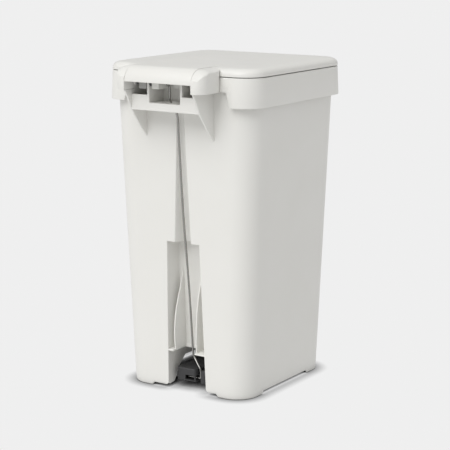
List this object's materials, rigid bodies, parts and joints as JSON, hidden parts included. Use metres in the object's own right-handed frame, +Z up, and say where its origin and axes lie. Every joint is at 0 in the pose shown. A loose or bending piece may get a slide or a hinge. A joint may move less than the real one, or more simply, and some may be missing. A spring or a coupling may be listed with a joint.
{
  "type": "pedal bin",
  "caption": "Tall moulded pedal bin with a rounded square plan, a rim band, a soft-closing hinged lid, a rear grip frame and a wire push rod worked by a floor pedal.",
  "frame": {"origin": "on the floor, under the middle of the whole bin's outline", "axes": "+Z up, +Y towards the hinge and push rod at the back, -Y towards the pedal, +X towards the bin's left side seen from behind"},
  "size_m": [0.3328, 0.4024, 0.6184],
  "materials": {
    "shell_plastic": "satin moulded polypropylene, warm light grey",
    "inner_plastic": "matt moulded polypropylene",
    "white_plastic": "moulded acetal, natural white",
    "grey_plastic": "moulded acetal, grey",
    "black_plastic": "moulded glass-filled nylon, charcoal",
    "rubber": "moulded rubber, matt",
    "bright_steel": "drawn steel wire and rod, bright",
    "zinc_steel": "zinc-plated pressed steel"
  },
  "bodies": {
    "frame": {"bucket_body": "shell_plastic", "rim_band": "shell_plastic", "bag_ring": "inner_plastic", "hinge_cover_left": "shell_plastic", "hinge_cover_right": "shell_plastic", "damper_housing": "grey_plastic", "damper_screw_low": "zinc_steel", "damper_screw_top": "zinc_steel", "hinge_axle": "bright_steel", "axle_clip_left": "zinc_steel", "axle_clip_right": "zinc_steel", "pedal_axle": "bright_steel", "pedal_bearing_left": "white_plastic", "pedal_bearing_right": "white_plastic", "bearing_screw_left_front": "zinc_steel", "bearing_screw_left_rear": "zinc_steel", "bearing_screw_right_front": "zinc_steel", "bearing_screw_right_rear": "zinc_steel", "pedal_axle_clip_left": "zinc_steel", "pedal_axle_clip_right": "zinc_steel", "foot_pad_front_left": "rubber", "foot_pad_front_right": "rubber", "foot_pad_rear_left": "rubber", "foot_pad_rear_right": "rubber"},
    "lid": {"lid_shell": "shell_plastic", "lid_liner": "inner_plastic", "lid_crank": "white_plastic", "crank_screw_front": "zinc_steel", "crank_screw_rear": "zinc_steel", "damper_rotor": "black_plastic", "lid_bumper_left": "rubber", "lid_bumper_right": "rubber"},
    "push_rod": {"push_rod": "bright_steel", "rod_clip_top": "zinc_steel", "rod_clip_foot": "zinc_steel"},
    "pedal": {"pedal_lever": "black_plastic", "pedal_tread": "rubber"}
  },
  "joints": [
    {"name": "lid_hinge", "type": "hinge", "parent": "frame", "child": "lid", "pos_m": [0, 0.171, 0.587], "axis": [-1, 0, 0], "range_deg": [0, 75]},
    {"name": "rod_swing", "type": "hinge", "parent": "lid", "child": "push_rod", "pos_m": [0, 0.149, 0.5825], "axis": [-1, 0, 0], "range_deg": [-75, 0]},
    {"name": "pedal_hinge", "type": "hinge", "parent": "frame", "child": "pedal", "pos_m": [0, -0.0695, 0.03], "axis": [1, 0, 0], "range_deg": [0, 8.6]}
  ],
  "couplings": [
    {"joint": "rod_swing", "follows": "lid_hinge", "ratio": -0.9865},
    {"joint": "pedal_hinge", "follows": "lid_hinge", "ratio": 0.1133}
  ]
}
